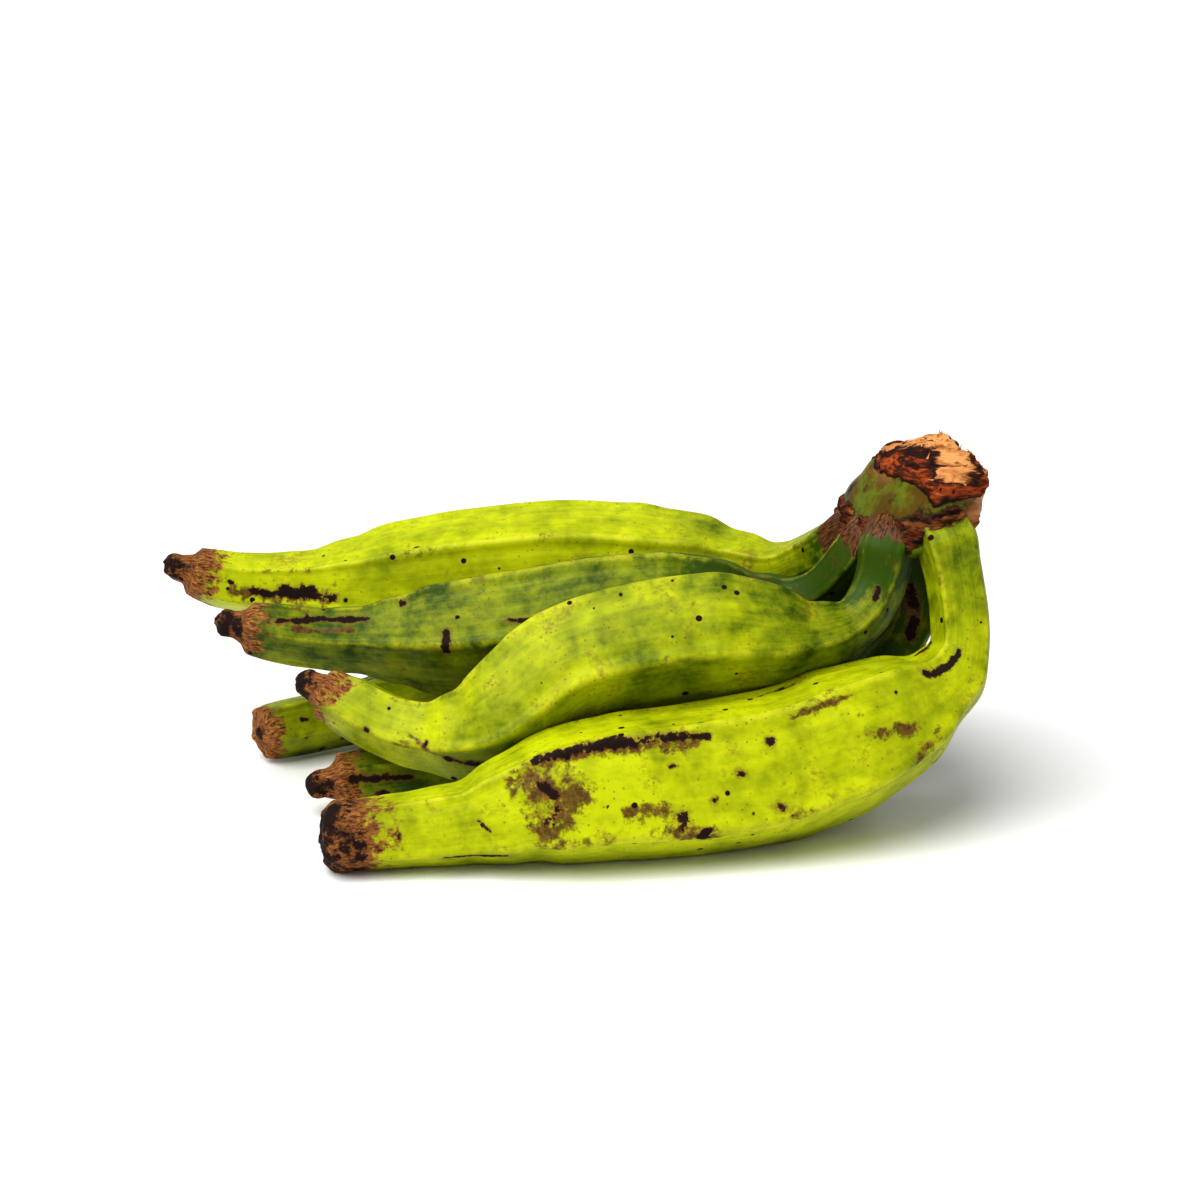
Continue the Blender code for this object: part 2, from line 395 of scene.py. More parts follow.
def skin_mesh(points, layers):
    """A closed skin through a grid of points, with a UV map and each layer's number at every vertex."""
    rows, columns = points.shape[0] - 1, points.shape[1] - 1
    skin = bmesh.new()
    skin.loops.layers.uv.new("UVMap")
    bmesh.ops.create_grid(skin, x_segments=columns, y_segments=rows, size=0.5, calc_uvs=True)
    stores = {name: skin.verts.layers.float.new(name) for name in layers}
    lists = {name: values.tolist() for name, values in layers.items()}
    places = points.tolist()
    for vert in skin.verts:
        column = round((vert.co.x + 0.5) * columns)
        row = round((vert.co.y + 0.5) * rows)
        vert.co = places[row][column]
        for name, store in stores.items():
            vert[store] = lists[name][row][column]
    bmesh.ops.remove_doubles(skin, verts=skin.verts, dist=MERGE)
    bmesh.ops.recalc_face_normals(skin, faces=skin.faces)
    for face in skin.faces:
        face.smooth = True
    return skin


def piece_from(name, shape, material, node=None):
    """Makes a piece of the hand from a bmesh, riding on the one body and standing for its node."""
    mesh = bpy.data.meshes.new(name)
    shape.to_mesh(mesh)
    shape.free()
    piece = bpy.data.objects.new(name, mesh)
    bpy.context.scene.collection.objects.link(piece)
    mesh.materials.append(material)
    if node:
        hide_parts(node)
    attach(piece, "root")


# Painting on a finger's skin


def inside_strokes(points, strokes):
    """How far inside the nearest stroke each point is: 1 on its line, 0 on its edge, down to -1 outside."""
    columns = points.shape[1] - 1
    length = length_along(points[:, :-1])
    girth = np.linalg.norm(np.diff(points, axis=1), axis=2).sum(axis=1)
    inside = np.full(points.shape[:2], -1.0)
    along = (length / length[-1])[:, None]
    around = np.linspace(0, 1, columns + 1)[None, :]
    for start, turn, finish, last_turn, half_width in strokes:
        local = np.interp((start + finish) / 2, along[:, 0], girth)
        run = Vector(((finish - start) * length[-1], (last_turn - turn) * local))
        x = (along - start) * length[-1]
        y = ((around - turn + 0.5) % 1 - 0.5) * local
        share = (x * run.x + y * run.y) / max(run.length_squared, 1e-12)
        share = np.clip(share, 0, 1)
        away = np.hypot(x - share * run.x, y - share * run.y)
        inside = np.maximum(inside, 1 - away / (half_width * MM))
    return inside


def chance_strokes(finger, count, least, most):
    """Marks where the finger's own list has none, the same at every run."""
    dice = random.Random(f"{finger['ripe']} {finger['cork']} {count}")
    strokes = []
    for _ in range(count):
        start = dice.uniform(0.12, 0.85)
        turn = dice.uniform(*finger["hidden"])
        run = dice.uniform(0.002, 0.05)
        last_turn = turn + dice.uniform(-0.02, 0.02)
        strokes.append((start, turn, start + run, last_turn, dice.uniform(least, most)))
    return strokes


def from_tip(points):
    """How far each point is from the finger's tip, in metres along the finger."""
    length = length_along(points[:, :-1])
    return np.repeat((length[-1] - length)[:, None], points.shape[1], axis=1)


def paint_layers(points, finger):
    """The numbers that the peel's material reads: char, cork, smudge, joint and ripe, which holds painted
    shade as well as ripeness.
    """
    reach = from_tip(points)
    char = 1 - reach / (finger["char"] * MM)
    cork = 1 - reach / (finger["cork"] * MM)
    scars = inside_strokes(points, (*finger["scars"], *chance_strokes(finger, 9, 0.7, 2.2)))
    smudges = inside_strokes(points, (*finger["smudges"], *chance_strokes(finger, 5, 1.0, 3.0)))
    from_crown = reach.max() - reach
    neck = np.clip(1 - from_crown / GREEN_AND_SHADE_REACH, 0, 1)
    return {
        "char": np.clip(np.maximum(char, scars), -1, 1),
        "cork": np.clip(cork, -1, 1),
        "smudge": smudges,
        "joint": np.clip((finger["joint"] * MM - from_crown) / JOINT_FADE, -1, 1),
        # Ripeness with painted shade: the shaded fingers are set low and the necks beside the crown lower
        # still.
        "ripe": finger["ripe"] - GREENER_AND_SHADED * neck,
    }


def ridge_relief(points):
    """How far each point stands out because of the long ridges and the flat faces between them."""
    wave = np.cos(np.linspace(0, 2 * math.pi * RIDGE_COUNT, points.shape[1]))[None, :]
    girth = np.linalg.norm(np.diff(points, axis=1), axis=2).sum(axis=1)[:, None]
    return (np.maximum(wave, 0) ** CREST_POWER - HOLLOW * np.maximum(-wave, 0)) * CREST * girth


def weathered(points, finger):
    """The points moved by dents, soft waves, ridges, the swollen neck and the folds of the dry tip."""
    normals = outward(points)
    dents = noise_over(points, 0.05, 2) * DENT
    ripples = noise_over(points, 0.012, 3, 7.0) * RIPPLE
    flutes = noise_over(points * np.array([0.35, 1, 1]), 0.0024, 2, 3.0) * FLUTE
    shrivel = np.clip(1.3 - 1.3 * from_tip(points) / (finger["cork"] * MM), 0, 1)
    swell = np.interp(length_along(points), SWELL_PLACES, SWELL_SHARES)[:, None] * finger["neck"] * MM
    push = dents + ripples + flutes * shrivel + ridge_relief(points) * (1 - shrivel) + swell
    push[0] = 0
    push[-1] = 0
    moved = points + normals * push[..., None]
    moved[..., 2] = np.maximum(moved[..., 2], 0)
    return moved


# Materials


class Nodes:
    """Adds nodes to one node tree and links them by socket name."""

    def __init__(self, tree):
        self.tree = tree

    def add(self, kind, sockets=None, **settings):
        """A new node with its settings, and its sockets set to a value or linked to another socket."""
        node = self.tree.nodes.new(kind)
        for name, value in settings.items():
            setattr(node, name, value)
        for name, value in (sockets or {}).items():
            self.join(value, node.inputs[name])
        return node

    def join(self, value, socket):
        """Links a socket to the value if that is a socket too, and else sets it."""
        if isinstance(value, bpy.types.NodeSocket):
            self.tree.links.new(value, socket)
        else:
            socket.default_value = value

    def math(self, operation, first, second=0.0, clamp=False):
        """The result of a Math node."""
        node = self.add("ShaderNodeMath", {0: first, 1: second}, operation=operation, use_clamp=clamp)
        return node.outputs[0]

    def plus(self, first, second):
        """The sum of two values."""
        return self.math("ADD", first, second)

    def times(self, first, second):
        """The product of two values."""
        return self.math("MULTIPLY", first, second)

    def most(self, first, second):
        """The larger of two values."""
        return self.math("MAXIMUM", first, second)

    def opposite(self, value):
        """1 less the value."""
        return self.math("SUBTRACT", 1.0, value)

    def centred(self, value, reach):
        """A value from 0 to 1 made to swing about 0, reach wide in all."""
        return self.times(self.math("SUBTRACT", value, 0.5), reach)

    def mix(self, factor, first, second):
        """A colour between first and second."""
        node = self.add("ShaderNodeMix", {0: factor, 6: first, 7: second}, data_type="RGBA")
        return node.outputs[2]

    def cells(self, where, scale):
        """For the cell that a point is in: how far the point is from its middle, and a chance number."""
        sockets = {"Vector": where, "Scale": scale, "Randomness": 1.0}
        cells = self.add("ShaderNodeTexVoronoi", sockets).outputs
        chance = self.add("ShaderNodeSeparateColor", {0: cells["Color"]}).outputs[0]
        return cells["Distance"], chance

    def step(self, value, low, high):
        """0 below low, 1 above high and smooth between them."""
        sockets = {"Value": value, "From Min": low, "From Max": high}
        node = self.add("ShaderNodeMapRange", sockets, interpolation_type="SMOOTHSTEP")
        return node.outputs[0]

    def noise(self, where, scale, detail=3.0, rough=0.5, distortion=0.0):
        """A noise value from 0 to 1."""
        sockets = {
            "Vector": where,
            "Scale": scale,
            "Detail": detail,
            "Roughness": rough,
            "Distortion": distortion,
        }
        return self.add("ShaderNodeTexNoise", sockets).outputs["Fac"]

    def layer(self, name):
        """A number painted on the mesh."""
        return self.add("ShaderNodeAttribute", attribute_name=name).outputs["Fac"]


def new_group(name, colours, amounts=()):
    """A shader node group for a finish, its Nodes helper, and its inputs and outputs by name."""
    group = bpy.data.node_groups.new(name, "ShaderNodeTree")
    for label in colours:
        group.interface.new_socket(label, in_out="INPUT", socket_type="NodeSocketColor")
    for label in amounts:
        group.interface.new_socket(label, in_out="INPUT", socket_type="NodeSocketFloat")
    group.interface.new_socket("Color", in_out="OUTPUT", socket_type="NodeSocketColor")
    for label in ("Roughness", "Height"):
        group.interface.new_socket(label, in_out="OUTPUT", socket_type="NodeSocketFloat")
    nodes = Nodes(group)
    return group, nodes, nodes.add("NodeGroupInput").outputs, nodes.add("NodeGroupOutput").inputs


def over_peel(nodes, around, along, scale_around, scale_along):
    """A place on the peel to read noise at, from the turn round the finger and the share of its length."""
    sockets = {0: nodes.times(around, scale_around), 1: nodes.times(along, scale_along)}
    return nodes.add("ShaderNodeCombineXYZ", sockets).outputs[0]


def peel_grain(nodes):
    """The patterns that the peel's colours and marks are made from, by name."""
    place = nodes.add("ShaderNodeTexCoord")
    where = place.outputs["Object"]
    split = nodes.add("ShaderNodeSeparateXYZ", {0: place.outputs["UV"]})
    around, along = split.outputs[0], split.outputs[1]
    lines = over_peel(nodes, around, along, 60.0, 9.0)
    folds = over_peel(nodes, around, along, 75.0, 110.0)
    patches = nodes.noise(where, scale=120.0, detail=5.0, rough=0.65)
    return {
        "where": where,
        "wave": nodes.math("COSINE", nodes.times(around, 2 * math.pi * RIDGE_COUNT)),
        "streaks": nodes.noise(lines, scale=1.0, detail=4.0, rough=0.6),
        "creases": nodes.noise(folds, scale=1.0, detail=3.0, rough=0.65, distortion=0.8),
        "clouds": nodes.noise(where, scale=28.0, detail=4.0, rough=0.6),
        "patches": patches,
        "fine": nodes.noise(where, scale=700.0, detail=3.0, rough=0.6),
        "ragged": nodes.centred(nodes.noise(where, scale=300.0, detail=5.0, rough=0.7), 3.2),
        "broad": nodes.centred(patches, 3.4),
    }


def green_peel(nodes, given, grain):
    """Lime to deep green by ripeness and by painted shade on the shaded fingers and necks, mottled, with
    paler lines along the ridges.
    """
    ripe = nodes.plus(nodes.layer("ripe"), nodes.centred(grain["clouds"], 1.6))
    ripe = nodes.plus(ripe, nodes.centred(grain["streaks"], 0.5))
    mottle = nodes.centred(grain["patches"], given["Mottling"])
    ripe = nodes.math("ADD", ripe, mottle, clamp=True)
    # Painted shade: the shaded fingers and the necks lean to the deep green, as well as the unripe peel.
    skin = nodes.mix(ripe, given["Unripe Shaded Green"], given["Lime"])
    crest = nodes.plus(grain["wave"], nodes.centred(grain["patches"], 0.35))
    pale = nodes.times(nodes.step(grain["clouds"], 0.3, 0.6), 0.36)
    return nodes.mix(nodes.times(nodes.step(crest, 0.93, 1.03), pale), skin, given["Ridge"])


def brown_marks(nodes, given, grain, skin, brown):
    """The skin with its rusty bruises and its brown smudges."""
    rust = nodes.noise(grain["where"], scale=55.0, detail=6.0, rough=0.72, distortion=0.4)
    rust = nodes.times(nodes.step(rust, 0.56, 0.70), nodes.step(grain["fine"], 0.35, 0.6))
    skin = nodes.mix(nodes.times(nodes.times(rust, given["Bruises"]), 0.65), skin, brown)
    smudge = nodes.plus(nodes.layer("smudge"), nodes.plus(grain["ragged"], grain["broad"]))
    smudge = nodes.times(nodes.step(smudge, 0.0, 0.9), 0.92)
    dark_brown = nodes.mix(0.75, brown, given["Scar"])
    flecked = nodes.mix(nodes.step(grain["fine"], 0.40, 0.60), dark_brown, brown)
    return nodes.mix(smudge, skin, flecked)


def corky_ends(nodes, given, grain, skin):
    """The skin with creased cork at its tip and the crown's scar at its neck, and where the cork is."""
    uneven = nodes.times(nodes.plus(grain["ragged"], grain["broad"]), 0.3)
    cork = nodes.step(nodes.plus(nodes.layer("cork"), uneven), 0.0, 0.22)
    joint = nodes.step(nodes.plus(nodes.layer("joint"), grain["ragged"]), 0.0, 0.3)
    cleft = nodes.mix(0.85, given["Cork"], given["Scar"])
    pale = nodes.mix(0.35, given["Cork"], given["Ridge"])
    tone = nodes.mix(nodes.step(grain["creases"], 0.40, 0.55), cleft, given["Cork"])
    tone = nodes.mix(nodes.step(grain["creases"], 0.58, 0.70), tone, pale)
    skin = nodes.mix(cork, skin, tone)
    return nodes.mix(joint, skin, nodes.mix(0.6, tone, given["Scar"])), cork


def specks(nodes, grain):
    """1 on tiny specks, which crowd together in places."""
    distance, chance = nodes.cells(grain["where"], 620.0)
    crowding = nodes.plus(nodes.times(nodes.step(grain["clouds"], 0.35, 0.65), 0.16), 0.04)
    chosen = nodes.math("GREATER_THAN", chance, nodes.opposite(crowding))
    return nodes.times(chosen, nodes.opposite(nodes.step(distance, 0.12, 0.34)))


def freckles(nodes, grain):
    """1 on scattered round spots of several sizes."""
    distance, chance = nodes.cells(grain["where"], 230.0)
    size = nodes.times(nodes.step(chance, 0.86, 1.0), 0.26)
    spots = nodes.opposite(nodes.step(nodes.math("SUBTRACT", distance, size), -0.03, 0.06))
    return nodes.times(spots, nodes.step(chance, 0.86, 0.9))


def worn_ridges(nodes, grain):
    """How brown the crests of the ridges are rubbed."""
    stretches = nodes.noise(grain["where"], scale=38.0, detail=5.0, rough=0.7)
    flecks = nodes.noise(grain["where"], scale=330.0, detail=4.0, rough=0.7)
    worn = nodes.times(nodes.step(grain["wave"], 0.75, 1.0), nodes.step(stretches, 0.53, 0.64))
    return nodes.times(nodes.times(worn, nodes.step(flecks, 0.46, 0.62)), 0.8)


def dead_skin(nodes, given, grain, skin, brown):
    """The skin with its specks, spots, worn ridges, scars and dead tip, and how dark each place is."""
    edge = nodes.plus(nodes.plus(nodes.layer("char"), grain["ragged"]), grain["broad"])
    skin = nodes.mix(nodes.times(nodes.step(edge, -0.70, 0.15), 0.5), skin, brown)
    speck_tone = nodes.mix(0.5, given["Cork"], given["Scar"])
    skin = nodes.mix(nodes.times(specks(nodes, grain), 0.6), skin, speck_tone)
    spots = freckles(nodes, grain)
    core = nodes.step(nodes.plus(edge, nodes.centred(grain["fine"], 1.2)), 0.10, 0.50)
    outer = nodes.mix(0.72, given["Cork"], given["Scar"])
    tone = nodes.mix(nodes.most(core, spots), outer, given["Scar"])
    scar = nodes.times(nodes.step(edge, 0.08, 0.26), 0.98)
    dark = nodes.most(scar, nodes.most(worn_ridges(nodes, grain), spots))
    return nodes.mix(dark, skin, tone), dark


def peel_group():
    """Peel colour, roughness and height from the finger's painted layers, its UV map and noise."""
    colours = ("Lime", "Unripe Shaded Green", "Ridge", "Scar", "Cork")
    group, nodes, given, result = new_group(PEEL_GROUP, colours, ("Mottling", "Bruises"))
    grain = peel_grain(nodes)
    brown = nodes.mix(grain["patches"], given["Cork"], given["Scar"])
    skin = green_peel(nodes, given, grain)
    skin = brown_marks(nodes, given, grain, skin, brown)
    skin, cork = corky_ends(nodes, given, grain, skin)
    skin, dark = dead_skin(nodes, given, grain, skin, brown)
    dry = nodes.most(dark, cork)
    rough = nodes.plus(0.36, nodes.times(grain["patches"], 0.16))
    height = nodes.plus(nodes.times(grain["streaks"], 0.5), nodes.times(grain["fine"], 0.25))
    crust = nodes.times(dry, nodes.times(grain["ragged"], 0.5))
    nodes.join(skin, result["Color"])
    nodes.join(nodes.plus(rough, nodes.times(dry, 0.30)), result["Roughness"])
    nodes.join(nodes.plus(height, crust), result["Height"])
    return group


def finished_material(name, group, values, bump, depth):
    """A material whose shader reads its colour, roughness and bump from a group with these values."""
    material = bpy.data.materials.new(name)
    material.use_nodes = True
    nodes = Nodes(material.node_tree)
    shader = material.node_tree.nodes["Principled BSDF"]
    finish = nodes.add("ShaderNodeGroup", node_tree=group)
    for label, value in values.items():
        nodes.join(value, finish.inputs[label])
    relief = {"Height": finish.outputs["Height"], "Strength": bump, "Distance": depth}
    nodes.join(finish.outputs["Color"], shader.inputs["Base Color"])
    nodes.join(finish.outputs["Roughness"], shader.inputs["Roughness"])
    nodes.join(nodes.add("ShaderNodeBump", relief).outputs[0], shader.inputs["Normal"])
    shader.inputs["Specular IOR Level"].default_value = 0.12
    return material


def peel_material(slot):
    """The peel of the lit or the shaded fingers, made once."""
    name = "peel_" + slot
    if name in bpy.data.materials:
        return bpy.data.materials[name]
    settings = bpy.context.scene.plantain_peel
    group = bpy.data.node_groups.get(PEEL_GROUP) or peel_group()
    values = {
        "Lime": (*settings.lime, 1.0),
        "Unripe Shaded Green": (*settings.unripe_shaded_green, 1.0),
        "Ridge": (*settings.ridge, 1.0),
        "Scar": (*settings.scar, 1.0),
        "Cork": (*settings.cork, 1.0),
        "Mottling": settings.mottling,
        "Bruises": settings.bruises * (1 if slot == "lit_skin" else SHADED_BRUISES),
    }
    return finished_material(name, group, values, bump=0.3, depth=0.4 * MM)


def colour_property(label, about, red, green, blue):
    """A colour that a user can change."""
    return bpy.props.FloatVectorProperty(
        name=label, description=about, default=(red, green, blue), min=0, max=1, subtype="COLOR"
    )


class PeelSettings(bpy.types.PropertyGroup):
    """Sizes and colours of the peel."""

    lime: colour_property("Lime", "Colour of the ripest, best lit peel", 0.52, 0.58, 0.003)
    # Deep green is the least ripe peel and also the painted shade of the shaded fingers and necks.
    unripe_shaded_green: colour_property("Deep green", "Colour of the least ripe peel", 0.036, 0.075, 0.002)
    ridge: colour_property("Ridge", "Colour of a ridge line", 0.66, 0.62, 0.03)
    scar: colour_property("Scar", "Colour of dead tips, spots and scars", 0.014, 0.006, 0.005)
    cork: colour_property("Cork", "Colour of dry, corky skin", 0.33, 0.125, 0.035)
    mottling: bpy.props.FloatProperty(
        name="Mottling", description="How much small patches differ in green", default=1.3, min=0, max=2
    )
    bruises: bpy.props.FloatProperty(
        name="Bruises", description="How strong the rusty bruises are", default=0.85, min=0, max=1
    )
    columns: bpy.props.IntProperty(
        name="Columns", description="Faces round a finger", default=120, min=40, max=160
    )
    rows: bpy.props.IntProperty(
        name="Rows", description="Faces along a finger", default=280, min=60, max=400
    )


class CrownSettings(bpy.types.PropertyGroup):
    """Sizes and colours of the torn crown."""

    rind: colour_property("Rind", "Colour of the crown's olive skin", 0.10, 0.058, 0.006)
    green: colour_property("Green", "Colour of the crown's greener patches", 0.12, 0.16, 0.006)
    fibre: colour_property("Fibre", "Colour of the fresh torn fibre", 0.68, 0.33, 0.115)
    rust: colour_property("Rust", "Colour of the older torn fibre", 0.32, 0.060, 0.010)


class StageSettings(bpy.types.PropertyGroup):
    """The floor, the lights and the camera."""

    floor_radius: bpy.props.FloatProperty(
        name="Floor radius", description="How far the floor reaches", default=9.0, unit="LENGTH"
    )
    floor: colour_property("Floor", "Colour of the floor", 0.93, 0.93, 0.92)
    key_strength: bpy.props.FloatProperty(
        name="Key light", description="Strength of the wide soft light overhead", default=3.1
    )
    surround: bpy.props.FloatProperty(
        name="Surround", description="How strongly the white room lights the hand", default=0.40
    )
    elevation: bpy.props.FloatProperty(
        name="Elevation",
        description="How far above the horizon the camera stands",
        default=math.radians(17),
        subtype="ANGLE",
    )
    distance: bpy.props.FloatProperty(
        name="Distance", description="From the camera to the hand", default=1.0, unit="LENGTH"
    )
    lens: bpy.props.FloatProperty(
        name="Lens", description="Focal length on a 36 mm wide sensor, in mm", default=87.0
    )


SETTINGS = {
    "plantain_peel": PeelSettings,
    "plantain_crown": CrownSettings,
    "plantain_stage": StageSettings,
}


# The pieces


def into_crown(rings):
    """The rings with the neck carried on up into the crown, so that no gap shows between them."""
    low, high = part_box("crown")
    heart = np.array([(low.x + high.x) / 2, (low.y + high.y) / 2, high.z - HEART_DEPTH])
    neck = rings[1]
    centre = neck.mean(axis=0)
    out = (heart - centre) / np.linalg.norm(heart - centre)
    carried = centre + (neck - centre) * NECK_TAPER + out * NECK_CARRY
    peak = np.repeat((centre + out * NECK_END)[None, :], len(neck), axis=0)
    return np.concatenate([[peak], [carried], rings[1:]])


def make_finger(node):
    """Makes the fine skin that stands for a CAD finger."""
    settings = bpy.context.scene.plantain_peel
    finger = FINGERS[node]
    rings = into_crown(ridge_first(cad_rings(node)))
    points = read_along(read_round(rings, settings.columns), settings.rows)
    skin = skin_mesh(weathered(points, finger), paint_layers(points, finger))
    piece_from(node + "_skin", skin, peel_material(finger["slot"]), node)


def height_round(edge, columns):
    """Heights in metres read at even turns from an edge's points, closed on itself."""
    turns = np.array([turn for turn, height in edge])
    heights = np.array([height for turn, height in edge]) * MM
    return np.interp(np.linspace(0, 1, columns + 1), [*turns, 1.0], [*heights, heights[0]])[None, :]


def crown_layers(points):
    """The numbers that the crown's material reads: torn, scar, below, lobe and char."""
    columns = points.shape[1] - 1
    ragged = noise_over(points, 0.006, 3, 11.0) * 2.2 * MM
    teeth = noise_over(points, 0.0022, 2, 5.0) * 1.3 * MM
    height = points[..., 2] + ragged
    top = height_round(SCAR_TOP, columns)
    foot = height_round(SCAR_FOOT, columns)
    layers = {
        "torn": (height - height_round(TORN_EDGE, columns)) / TORN_RISE,
        "scar": 1 - np.abs(height + teeth - (top + foot) / 2) / ((top - foot) / 2),
        "below": (foot - height) / JOINT_FADE,
        "lobe": 1 - np.linalg.norm(points - np.array(PALE_LOBE) * MM, axis=2) / LOBE_REACH,
        "char": inside_strokes(points, CROWN_SCARS),
    }
    return {name: np.clip(values, -1, 1) for name, values in layers.items()}


def crown_relief(points, layers):
    """How far out each point of the crown stands: torn fibres, the scar's layers and the rind's lumps."""
    torn = np.clip(layers["torn"] * 8, 0, 1)
    scar = np.clip(layers["scar"] * 3, 0, 1)
    fibres = noise_over(points * np.array([0.28, 0.6, 1.0]), 0.0021, 3, 2.0) * 1.1 * MM
    chunks = noise_over(points, 0.010, 2, 9.0) * 1.9 * MM
    lip = 1.3 * MM * np.clip(1.2 - layers["torn"], 0, 1)
    layered = (points[..., 2] - LEAF_TILT * points[..., 0]) / LEAF_HEIGHT % 1.0
    leaves = (layered * 1.3 + 0.3) * MM
    lumps = noise_over(points, 0.014, 3) * 0.6 * MM + np.clip(layers["lobe"], 0, 1) * 2.8 * MM
    return lumps + torn * (fibres + chunks + lip) + scar * leaves * (1 - torn)


def crown_grain(nodes):
    """The patterns that the crown's colours are made from, by name."""
    where = nodes.add("ShaderNodeTexCoord").outputs["Object"]
    drawn_out = nodes.add("ShaderNodeMapping", {"Vector": where, "Scale": (0.30, 0.6, 1.5)}).outputs[0]
    return {
        "where": where,
        "fibres": nodes.noise(drawn_out, scale=420.0, detail=5.0, rough=0.7),
        "strands": nodes.noise(drawn_out, scale=140.0, detail=4.0, rough=0.65, distortion=0.3),
        "patches": nodes.noise(where, scale=90.0, detail=5.0, rough=0.65),
        "fine": nodes.noise(where, scale=800.0, detail=3.0, rough=0.6),
    }


def olive_rind(nodes, given, grain):
    """Olive rind with greener and browner clouds, dark marks and cork under the torn edge."""
    rind = nodes.mix(nodes.step(grain["patches"], 0.42, 0.62), given["Rind"], given["Green"])
    brown = nodes.step(nodes.noise(grain["where"], scale=150.0, detail=5.0, rough=0.7), 0.54, 0.68)
    rind = nodes.mix(nodes.times(brown, 0.7), rind, given["Dark"])
    mark = nodes.plus(nodes.layer("char"), nodes.centred(grain["fibres"], 2.2))
    rind = nodes.mix(nodes.times(nodes.step(mark, -0.6, 0.2), 0.6), rind, given["Dark"])
    rind = nodes.mix(nodes.step(mark, 0.1, 0.4), rind, given["Dark"])
    edging = nodes.step(nodes.layer("torn"), -0.35, 0.0)
    edging = nodes.times(edging, nodes.step(grain["strands"], 0.42, 0.6))
    rind = nodes.mix(nodes.times(edging, 0.6), rind, given["Cork"])
    return nodes.mix(nodes.step(nodes.layer("below"), 0.0, 0.4), rind, given["Green"])


def layered_scar(nodes, given, grain, skin):
    """The crown with its layered scar and the dark rim round that, and where the scar is."""
    rusty = nodes.mix(0.35, given["Rust"], given["Dark"])
    corky = nodes.mix(0.25, given["Cork"], given["Dark"])
    tone = nodes.mix(nodes.step(grain["fibres"], 0.44, 0.64), given["Dark"], rusty)
    tone = nodes.mix(nodes.step(grain["strands"], 0.50, 0.64), tone, corky)
    scar = nodes.step(nodes.layer("scar"), 0.0, 0.12)
    skin = nodes.mix(scar, skin, tone)
    rim = nodes.times(nodes.step(nodes.layer("scar"), -0.25, 0.0), nodes.opposite(scar))
    return nodes.mix(nodes.times(rim, 0.8), skin, given["Dark"]), scar


def corky_lobe(nodes, given, grain, skin):
    """The crown with the pale corky lobe at its corner."""
    lobe = nodes.plus(nodes.layer("lobe"), nodes.centred(grain["patches"], 2.0))
    dull = nodes.mix(0.35, given["Cork"], given["Dark"])
    pale = nodes.mix(0.25, given["Cork"], given["Fibre"])
    tone = nodes.mix(nodes.step(grain["strands"], 0.38, 0.62), dull, pale)
    return nodes.mix(nodes.step(lobe, 0.0, 0.3), skin, tone)


def torn_fibre(nodes, given, grain):
    """The torn top's colour: a dark rim, rusty fibre, a black streak and then pale fresh fibre."""
    level = nodes.plus(nodes.layer("torn"), nodes.centred(grain["strands"], 1.5))
    tan = nodes.mix(0.5, given["Rust"], given["Fibre"])
    rusty = nodes.mix(0.85, given["Rust"], given["Dark"])
    rusty = nodes.mix(nodes.step(grain["fibres"], 0.42, 0.58), rusty, given["Rust"])
    rusty = nodes.mix(nodes.step(grain["fibres"], 0.60, 0.72), rusty, tan)
    fresh = nodes.mix(0.5, given["Cork"], given["Rust"])
    fresh = nodes.mix(nodes.step(grain["fibres"], 0.34, 0.54), fresh, given["Fibre"])
    fresh = nodes.mix(nodes.times(nodes.step(grain["strands"], 0.52, 0.68), 0.7), fresh, tan)
    tone = nodes.mix(nodes.step(level, 0.38, 0.60), rusty, fresh)
    streak = nodes.times(nodes.step(level, 0.20, 0.34), nodes.opposite(nodes.step(level, 0.42, 0.56)))
    tone = nodes.mix(nodes.times(streak, 0.92), tone, given["Dark"])
    rim = nodes.opposite(nodes.step(nodes.layer("torn"), 0.02, 0.12))
    return nodes.mix(rim, tone, given["Dark"])


def crown_group():
    """Crown colour, roughness and height from its painted layers and noise."""
    colours = ("Rind", "Green", "Fibre", "Rust", "Dark", "Cork")
    group, nodes, given, result = new_group("Plantain crown", colours)
    grain = crown_grain(nodes)
    skin, scar = layered_scar(nodes, given, grain, olive_rind(nodes, given, grain))
    skin = corky_lobe(nodes, given, grain, skin)
    torn = nodes.step(nodes.layer("torn"), -0.02, 0.02)
    skin = nodes.mix(torn, skin, torn_fibre(nodes, given, grain))
    dry = nodes.most(torn, scar)
    height = nodes.times(grain["fibres"], nodes.plus(0.15, nodes.times(dry, 1.2)))
    nodes.join(skin, result["Color"])
    nodes.join(nodes.plus(0.42, nodes.times(dry, 0.38)), result["Roughness"])
    nodes.join(nodes.plus(height, nodes.times(grain["fine"], 0.3)), result["Height"])
    return group


def crown_material():
    """Olive rind, layered scar and torn fibre."""
    crown = bpy.context.scene.plantain_crown
    peel = bpy.context.scene.plantain_peel
    values = {
        "Rind": (*crown.rind, 1.0),
        "Green": (*crown.green, 1.0),
        "Fibre": (*crown.fibre, 1.0),
        "Rust": (*crown.rust, 1.0),
        "Dark": (*peel.scar, 1.0),
        "Cork": (*peel.cork, 1.0),
    }
    return finished_material("torn_crown", crown_group(), values, bump=0.55, depth=0.7 * MM)


